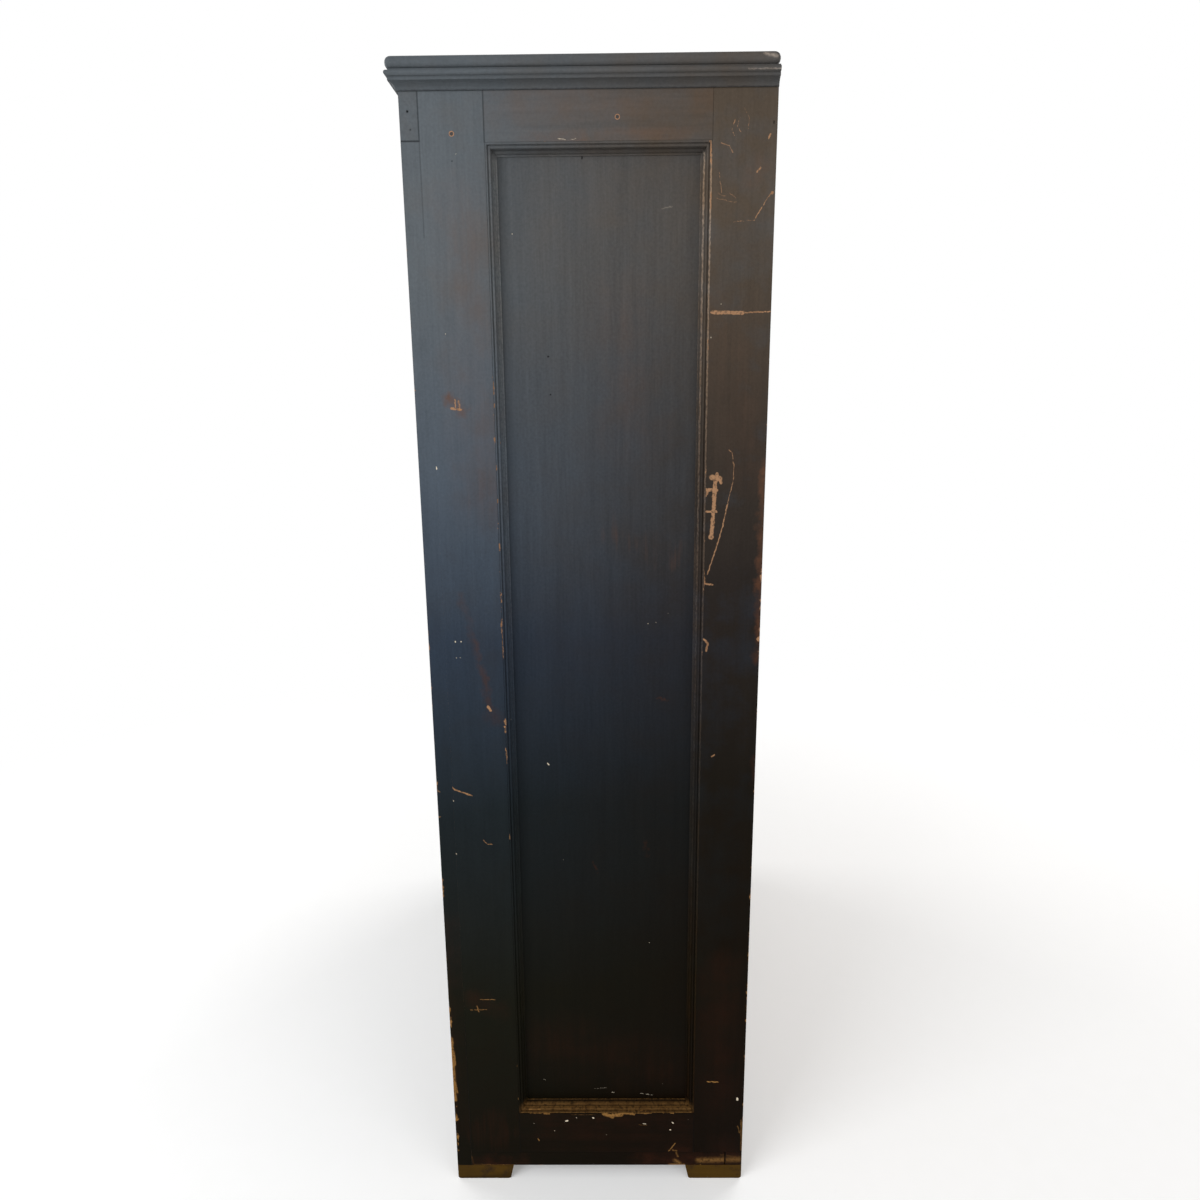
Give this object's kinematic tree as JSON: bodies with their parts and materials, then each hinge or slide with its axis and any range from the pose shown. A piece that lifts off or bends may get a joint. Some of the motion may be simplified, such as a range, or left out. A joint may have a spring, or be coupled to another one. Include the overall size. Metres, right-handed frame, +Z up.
{
  "type": "cupboard",
  "caption": "Tall painted frame-and-panel cupboard with moulded cornice, block feet, paired panelled doors, turn latch, sliding bolt and shelves on cleats.",
  "frame": {"origin": "on the floor at the middle of the whole cupboard's outer box", "axes": "+X to the cupboard's own left seen from the front (the pictured side is at +X), +Y from the doors to the back, +Z up"},
  "size_m": [1.099, 0.534, 1.779],
  "materials": {
    "dark_paint": "old near-black satin paint over reddish brown, worn to bare wood at edges",
    "bare_wood": "bare pine darkened with age",
    "worn_foot_wood": "bare olive-brown wood, scuffed",
    "turned_wood": "turned hardwood, dark and polished by hands",
    "old_iron": "painted and browned iron",
    "steel_fasteners": "dull steel, lightly rusted"
  },
  "bodies": {
    "root": {"right_side_front_stile": "dark_paint", "right_side_rear_stile": "dark_paint", "right_side_top_rail": "dark_paint", "right_side_bottom_rail": "dark_paint", "right_side_panel": "dark_paint", "right_side_moulding": "dark_paint", "left_side_front_stile": "dark_paint", "left_side_rear_stile": "dark_paint", "left_side_top_rail": "dark_paint", "left_side_bottom_rail": "dark_paint", "left_side_panel": "dark_paint", "left_side_moulding": "dark_paint", "side_nails": "steel_fasteners", "face_left_stile": "dark_paint", "face_right_stile": "dark_paint", "face_top_rail": "dark_paint", "face_bottom_rail": "dark_paint", "door_stop": "bare_wood", "top_board": "dark_paint", "cornice_front": "dark_paint", "cornice_left": "dark_paint", "cornice_right": "dark_paint", "bottom_board": "dark_paint", "rear_sill": "dark_paint", "back_top_rail": "bare_wood", "top_cleats": "bare_wood", "shelf_1": "bare_wood", "shelf_2": "bare_wood", "shelf_3": "bare_wood", "shelf_4": "bare_wood", "shelf_cleats": "bare_wood", "back_board_1": "bare_wood", "back_board_2": "bare_wood", "back_board_3": "bare_wood", "back_board_4": "bare_wood", "front_feet": "worn_foot_wood", "rear_feet": "worn_foot_wood", "hinge_frame_leaves": "old_iron", "hinge_pins": "steel_fasteners", "hinge_frame_screws": "steel_fasteners"},
    "left_door": {"left_door_hinge_stile": "dark_paint", "left_door_lock_stile": "dark_paint", "left_door_top_rail": "dark_paint", "left_door_bottom_rail": "dark_paint", "left_door_panel": "dark_paint", "left_door_moulding": "dark_paint", "left_door_hinge_leaves": "old_iron", "left_door_hinge_screws": "steel_fasteners", "bolt_plate": "old_iron"},
    "right_door": {"right_door_hinge_stile": "dark_paint", "right_door_lock_stile": "dark_paint", "right_door_top_rail": "dark_paint", "right_door_bottom_rail": "dark_paint", "right_door_panel": "dark_paint", "right_door_moulding": "dark_paint", "right_door_hinge_leaves": "old_iron", "right_door_hinge_screws": "steel_fasteners"},
    "latch": {"latch_knob": "turned_wood", "latch_pawl": "turned_wood"},
    "bolt": {"bolt_rod": "old_iron"}
  },
  "joints": [
    {"name": "left_door_hinge", "type": "hinge", "parent": "root", "child": "left_door", "pos_m": [-0.472, -0.2383, 0.89], "axis": [0, 0, -1], "range_deg": [0, 170]},
    {"name": "right_door_hinge", "type": "hinge", "parent": "root", "child": "right_door", "pos_m": [0.472, -0.2383, 0.89], "axis": [0, 0, 1], "range_deg": [0, 170]},
    {"name": "latch_turn", "type": "hinge", "parent": "right_door", "child": "latch", "pos_m": [0.0415, -0.2, 0.9175], "axis": [0, 1, 0], "range_deg": [0, 90]},
    {"name": "bolt_slide", "type": "slide", "parent": "left_door", "child": "bolt", "axis": [0, 0, 1], "range_m": [0, 0.0234]}
  ]
}
